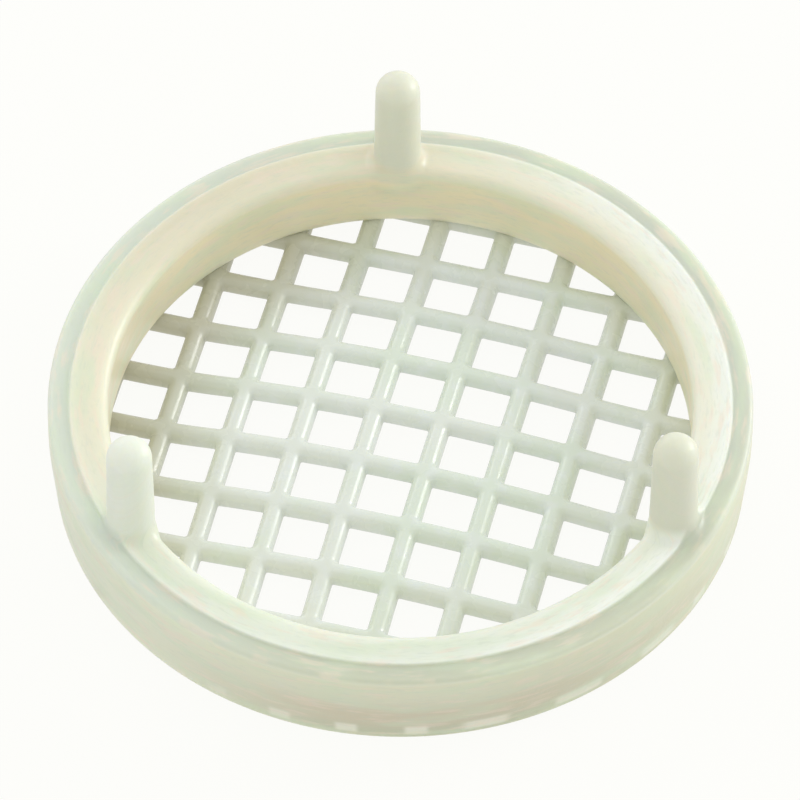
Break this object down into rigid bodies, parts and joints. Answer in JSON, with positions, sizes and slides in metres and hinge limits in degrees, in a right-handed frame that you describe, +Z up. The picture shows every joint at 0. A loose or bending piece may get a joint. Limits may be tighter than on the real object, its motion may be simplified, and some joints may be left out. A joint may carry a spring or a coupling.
{
  "type": "queen excluder",
  "caption": "Round plastic queen excluder: a low stepped rim around a crowned square lattice that workers pass and the queen cannot, with blunt pegs standing on the rim.",
  "frame": {"origin": "on the rim's axis, in the flat face the disc rests on", "axes": "+Z up towards the peg tips; X and Y along the two sets of lattice bars; the pegs stand at 105, 225 and 345 degrees from +X"},
  "size_m": [0.0654, 0.0654, 0.021],
  "materials": {
    "natural_plastic": "satin, milky translucent, uncoloured moulded plastic"
  },
  "bodies": {
    "root": {"lattice_bar_x_01": "natural_plastic", "lattice_bar_x_02": "natural_plastic", "lattice_bar_x_03": "natural_plastic", "lattice_bar_x_04": "natural_plastic", "lattice_bar_x_05": "natural_plastic", "lattice_bar_x_06": "natural_plastic", "lattice_bar_x_07": "natural_plastic", "lattice_bar_x_08": "natural_plastic", "lattice_bar_x_09": "natural_plastic", "lattice_bar_x_10": "natural_plastic", "lattice_bar_y_01": "natural_plastic", "lattice_bar_y_02": "natural_plastic", "lattice_bar_y_03": "natural_plastic", "lattice_bar_y_04": "natural_plastic", "lattice_bar_y_05": "natural_plastic", "lattice_bar_y_06": "natural_plastic", "lattice_bar_y_07": "natural_plastic", "lattice_bar_y_08": "natural_plastic", "lattice_bar_y_09": "natural_plastic", "lattice_bar_y_10": "natural_plastic", "peg_1": "natural_plastic", "peg_2": "natural_plastic", "peg_3": "natural_plastic", "rim": "natural_plastic"}
  },
  "joints": []
}
